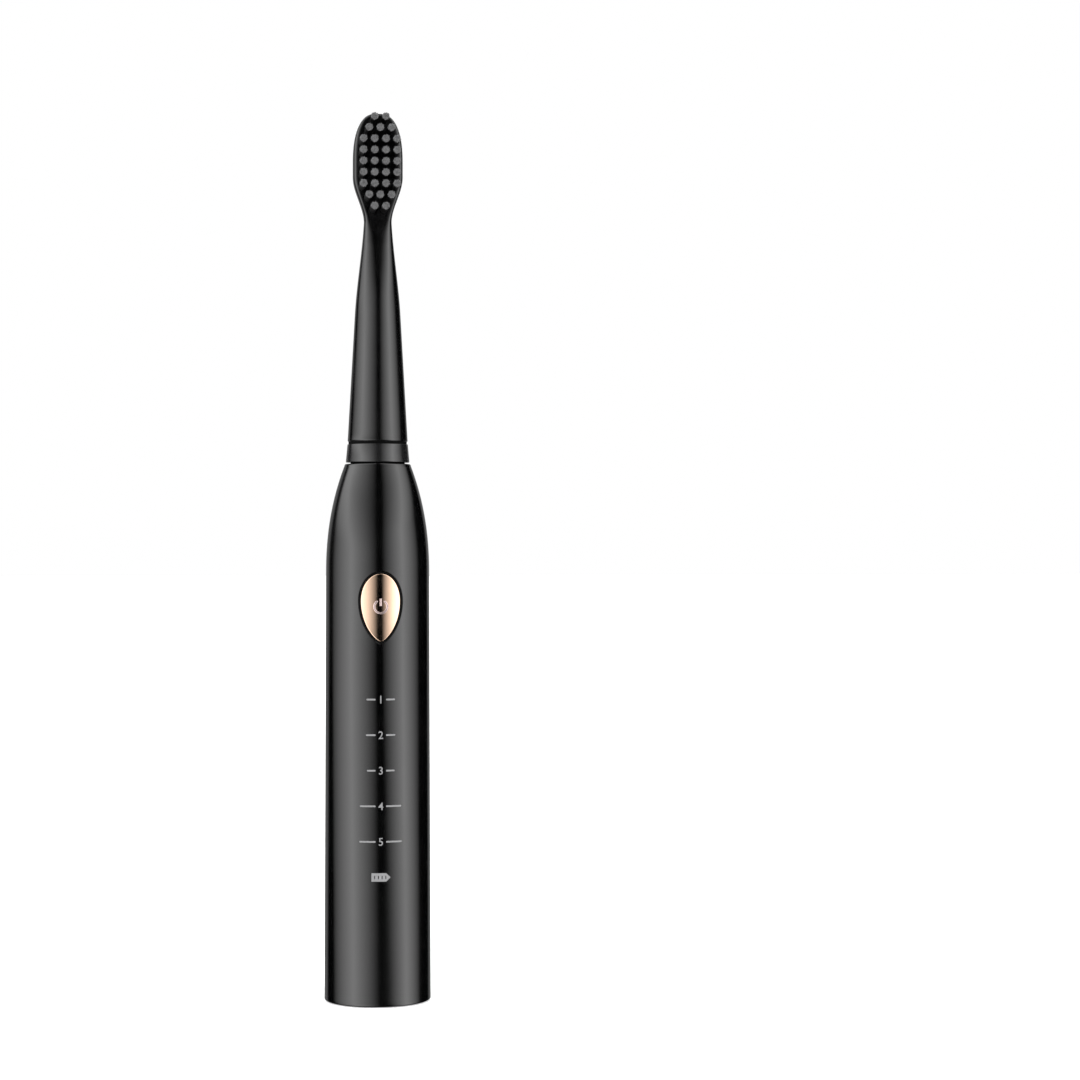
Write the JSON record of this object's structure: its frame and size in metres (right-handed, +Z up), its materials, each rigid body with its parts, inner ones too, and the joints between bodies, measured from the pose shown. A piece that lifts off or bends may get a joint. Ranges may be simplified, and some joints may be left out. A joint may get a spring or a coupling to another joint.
{
  "type": "electric toothbrush",
  "caption": "Upright sonic toothbrush: round black handle with a rose-gold button, swinging drive shaft and pull-off bristle head; recess for a charger post in its base.",
  "frame": {"origin": "centre of the handle's flat foot, on the axis of the handle", "axes": "+Z up along the handle to the brush head, -Y the way the bristles and the button face, +X to the right seen from the front"},
  "size_m": [0.027, 0.027, 0.225],
  "materials": {
    "handle_housing": "polished black lacquer",
    "base_cap": "satin black",
    "base_oring": "soft red-brown rubber",
    "charge_coil": "wound copper wire",
    "coil_leads": "enamelled wire",
    "chassis": "moulded grey plastic",
    "battery_cell": "blue shrink sleeve",
    "battery_pad": "foam",
    "battery_tabs": "nickel strip",
    "main_board": "green solder mask",
    "board_screws": "bright zinc",
    "control_chip": "moulded epoxy",
    "board_components": "ceramic and solder",
    "mode_leds": "clear lens",
    "charge_led": "clear lens",
    "light_guide": "opaque white",
    "tact_switch": "moulded",
    "switch_plunger": "moulded",
    "power_button": "polished rose gold",
    "power_icon": "pale lacquer",
    "button_gasket": "soft black rubber",
    "motor_can": "nickel plated",
    "motor_front_plate": "zinc plated",
    "motor_rear_plate": "zinc plated",
    "front_bush": "sintered bronze",
    "rear_bush": "sintered bronze",
    "stator_cores": "laminated steel",
    "stator_bobbins": "moulded",
    "stator_coils": "wound copper wire",
    "motor_leads": "insulated wire",
    "motor_screws": "bright zinc",
    "motor_sleeve": "soft rubber",
    "motor_collar": "soft rubber",
    "drive_shaft": "ground stainless steel",
    "rotor_hub": "turned steel",
    "rotor_magnets": "nickel plated magnet",
    "nose_insert": "moulded black",
    "nose_oring": "soft red-brown rubber",
    "shaft_seal": "soft dark rubber",
    "seal_washer": "stainless",
    "head_stem": "polished black plastic",
    "head_core": "moulded white",
    "shaft_clip": "spring steel",
    "id_ring": "satin dark grey",
    "tuft_anchors": "thin brass",
    "bristle_tufts": "grey nylon filament"
  },
  "bodies": {
    "handle": {"handle_housing": "handle_housing", "base_cap": "base_cap", "base_oring": "base_oring", "charge_coil": "charge_coil", "coil_leads": "coil_leads", "chassis": "chassis", "battery_cell": "battery_cell", "battery_pad": "battery_pad", "battery_tabs": "battery_tabs", "main_board": "main_board", "board_screws": "board_screws", "control_chip": "control_chip", "board_components": "board_components", "mode_leds": "mode_leds", "charge_led": "charge_led", "light_guide": "light_guide", "tact_switch": "tact_switch", "button_gasket": "button_gasket", "motor_can": "motor_can", "motor_front_plate": "motor_front_plate", "motor_rear_plate": "motor_rear_plate", "front_bush": "front_bush", "rear_bush": "rear_bush", "stator_cores": "stator_cores", "stator_bobbins": "stator_bobbins", "stator_coils": "stator_coils", "motor_leads": "motor_leads", "motor_screws": "motor_screws", "motor_sleeve": "motor_sleeve", "motor_collar": "motor_collar", "nose_insert": "nose_insert", "nose_oring": "nose_oring", "shaft_seal": "shaft_seal", "seal_washer": "seal_washer"},
    "drive": {"drive_shaft": "drive_shaft", "rotor_hub": "rotor_hub", "rotor_magnets": "rotor_magnets"},
    "brush_head": {"head_stem": "head_stem", "head_core": "head_core", "shaft_clip": "shaft_clip", "id_ring": "id_ring", "tuft_anchors": "tuft_anchors", "bristle_tufts": "bristle_tufts"},
    "button": {"power_button": "power_button", "power_icon": "power_icon"},
    "plunger": {"switch_plunger": "switch_plunger"}
  },
  "joints": [
    {"name": "shaft_swing", "type": "hinge", "parent": "handle", "child": "drive", "pos_m": [0, 0, 0.12], "axis": [0, 0, 1], "range_deg": [-5, 5], "stiffness_Nm_per_rad": 0.02},
    {"name": "head_pull_off", "type": "slide", "parent": "drive", "child": "brush_head", "axis": [0, 0, 1], "range_m": [0, 0.022]},
    {"name": "button_press", "type": "slide", "parent": "handle", "child": "button", "axis": [0, 1, 0], "range_m": [0, 0.0004], "stiffness_N_per_m": 1500},
    {"name": "plunger_press", "type": "slide", "parent": "handle", "child": "plunger", "axis": [0, 1, 0], "range_m": [0, 0.0004]}
  ],
  "couplings": [
    {"joint": "plunger_press", "follows": "button_press", "ratio": 1}
  ]
}
